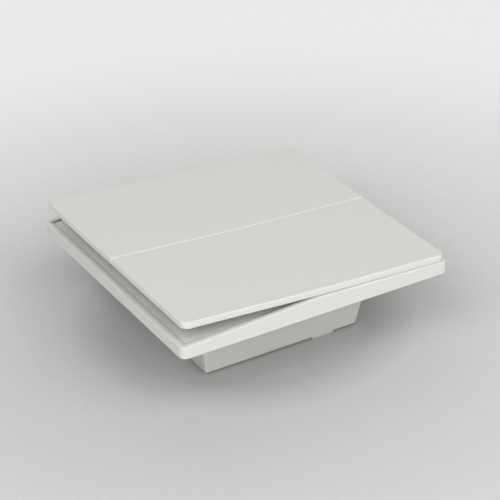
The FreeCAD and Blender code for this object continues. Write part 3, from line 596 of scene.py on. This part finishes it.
# The rings of the painted shadow round the switch, and where the painted light towards the back starts and
# grows.
SHADOW_INNER_RING = (38, 52)
SHADOW_OUTER_RING = (52, 120)
BACK_FADE = (50, 80)
BACKWARDS = (0.5, 0.87)
BACK_START = -100
BACK_LENGTH = 500
GLOW_RING = (72.0, 225.0)
GLOW_NEAR = 0.9
FAR_START = 400
FAR_LENGTH = 1000


def across_ring(away, ring):
    """0 inside a ring, 1 outside it, and between them in proportion."""
    return ((away - ring[0]) / (ring[1] - ring[0])).clamped()


def paper_with_painted_light_and_shadow(s, here, away):
    """Pale paper with a painted shadow at the switch and painted light towards the back, with faint fibres.
    """
    behind = s.along(here, "X") * BACKWARDS[0] + s.along(here, "Y") * BACKWARDS[1]
    # Painted shadow: darker paper near the switch, in two rings.
    paper = s.mix(across_ring(away, SHADOW_INNER_RING), grey(179), grey(206))
    paper = s.mix(across_ring(away, SHADOW_OUTER_RING), paper, grey(220))
    # Painted light: lighter paper towards the back.
    painted_light_at_back = ((behind - BACK_START) / BACK_LENGTH * across_ring(away, BACK_FADE)).clamped()
    return s.mix(painted_light_at_back, paper, grey(250))


def table_paper():
    """Paper that glows for the camera far from the switch, and is clear from below."""
    s = Shading("table_paper")
    here = s.place()
    away = s.distance_across(here)
    fibre = s.noise(here, 700.0, 2.0)
    colour = s.mix(fibre * 0.2, paper_with_painted_light_and_shadow(s, here, away), grey(190))
    sheet = s.node("ShaderNodeBsdfPrincipled", {}, {"Base Color": colour, "Roughness": 0.8 + fibre * 0.1})
    glow = s.node("ShaderNodeEmission", {}, {"Color": grey(238), "Strength": 1.0})
    rises = s.node("ShaderNodeMapRange", {"interpolation_type": "SMOOTHSTEP"},
                   {"Value": away, "From Min": GLOW_RING[0], "From Max": GLOW_RING[1],
                    "To Min": 0.0, "To Max": GLOW_NEAR})
    rises = rises + ((away - FAR_START) / FAR_LENGTH).clamped() * (1 - GLOW_NEAR)
    lit = s.node("ShaderNodeMixShader", {}, {0: seen(s) * rises, 1: sheet, 2: glow})
    under_box = ((s.along(here, "X").magnitude() < box_floor_half_x - PANE_INSET)
                 * (s.along(here, "Y").magnitude() < box_floor_half_y - PANE_INSET))
    from_below = s.node("ShaderNodeNewGeometry", {}, {}, "Backfacing")
    clear = s.node("ShaderNodeBsdfTransparent", {}, {})
    return s.end(s.node("ShaderNodeMixShader", {}, {0: from_below.larger_of(under_box * (1 - seen(s))),
                                                    1: lit, 2: clear}))


paper = table_paper()
print("under the box the paper is clear over", [round(2 * (half - PANE_INSET), 1)
                                                for half in (box_floor_half_x, box_floor_half_y)], "mm")

# %% [markdown]
# ## The table
# One face, six metres wide, is enough for a sheet of paper.

# %% Lay the table
TABLE_HALF = 3.0
corners = [(x * TABLE_HALF, y * TABLE_HALF, floor_level) for x, y in ((-1, -1), (1, -1), (1, 1), (-1, 1))]
mesh = bpy.data.meshes.new("table")
mesh.from_pydata(corners, [], [(0, 1, 2, 3)])
table = bpy.data.objects.new("table", mesh)
bpy.context.scene.collection.objects.link(table)
table.data.materials.append(paper)
print("table at", round(floor_level / MM, 2), "mm")

# %% [markdown]
# ## The room
# The room gives a little even light, and is pale where it is seen. It gives more from below, which the
# table stops everywhere but under the box, whose floor would be dark without it.

# %% Make the room
ROOM_LIGHT = 0.177
LIGHT_FROM_BELOW = 0.6


def studio_room():
    """Weak even light from all round, more from below, and a pale room where it is seen."""
    s = Shading("studio", bpy.data.worlds, "ShaderNodeOutputWorld")
    above, below = (s.node("ShaderNodeBackground", {}, {"Color": (1, 1, 1, 1), "Strength": strength})
                    for strength in (ROOM_LIGHT, LIGHT_FROM_BELOW))
    direction = s.node("ShaderNodeTexCoord", {}, {}, "Generated")
    light = s.node("ShaderNodeMixShader", {}, {0: s.along(direction, "Z") < 0, 1: above, 2: below})
    wall = s.node("ShaderNodeBackground", {}, {"Color": grey(238), "Strength": 1.0})
    return s.end(s.node("ShaderNodeMixShader", {}, {0: seen(s), 1: light, 2: wall}))


bpy.context.scene.world = studio_room()
print("room light:", ROOM_LIGHT, "and from below:", LIGHT_FROM_BELOW)

# %% [markdown]
# ## The lamps
# Seven large soft boxes stand round the switch. Low ones in front brighten the front edges of frame
# and keys, high ones in front and at the left give the keys their even tone, and a weak one at the
# side and one behind keep the other sides from going dark. A large box leaves no glare that a satin
# key could mirror. The powers were worked out from one render per lamp, so that keys, rim and box
# have the picture's tones.

# %% Light the switch
BOX_SIDE = 0.8
BOX_DISTANCE = 1.2


def softbox(name, azimuth, elevation, power):
    """A square lamp that faces the switch. Azimuth 0 is the front, and it grows to the right."""
    lamp = bpy.data.lights.new(name, "AREA")
    lamp.size = BOX_SIDE
    lamp.energy = power
    a, e = math.radians(azimuth), math.radians(elevation)
    towards = Vector((math.sin(a) * math.cos(e), -math.cos(a) * math.cos(e), math.sin(e)))
    made = bpy.data.objects.new(name, lamp)
    made.location = towards * BOX_DISTANCE
    made.rotation_euler = towards.to_track_quat("Z", "Y").to_euler()
    made.visible_camera = False
    bpy.context.scene.collection.objects.link(made)
    return lamp.energy


watts = [softbox("low_front_box", -25, 20, 3.8),
         softbox("low_right_box", 35, 20, 1.35),
         softbox("front_box", -25, 45, 2.1),
         softbox("left_box", -62, 45, 5.2),
         softbox("right_box", 20, 45, 3.8),
         softbox("side_box", 110, 20, 1.5),
         softbox("back_box", 160, 45, 1.2)]
bpy.context.scene.view_settings.view_transform = "Standard"
print("lamps:", len(watts), "with", round(sum(watts), 2), "W in all")
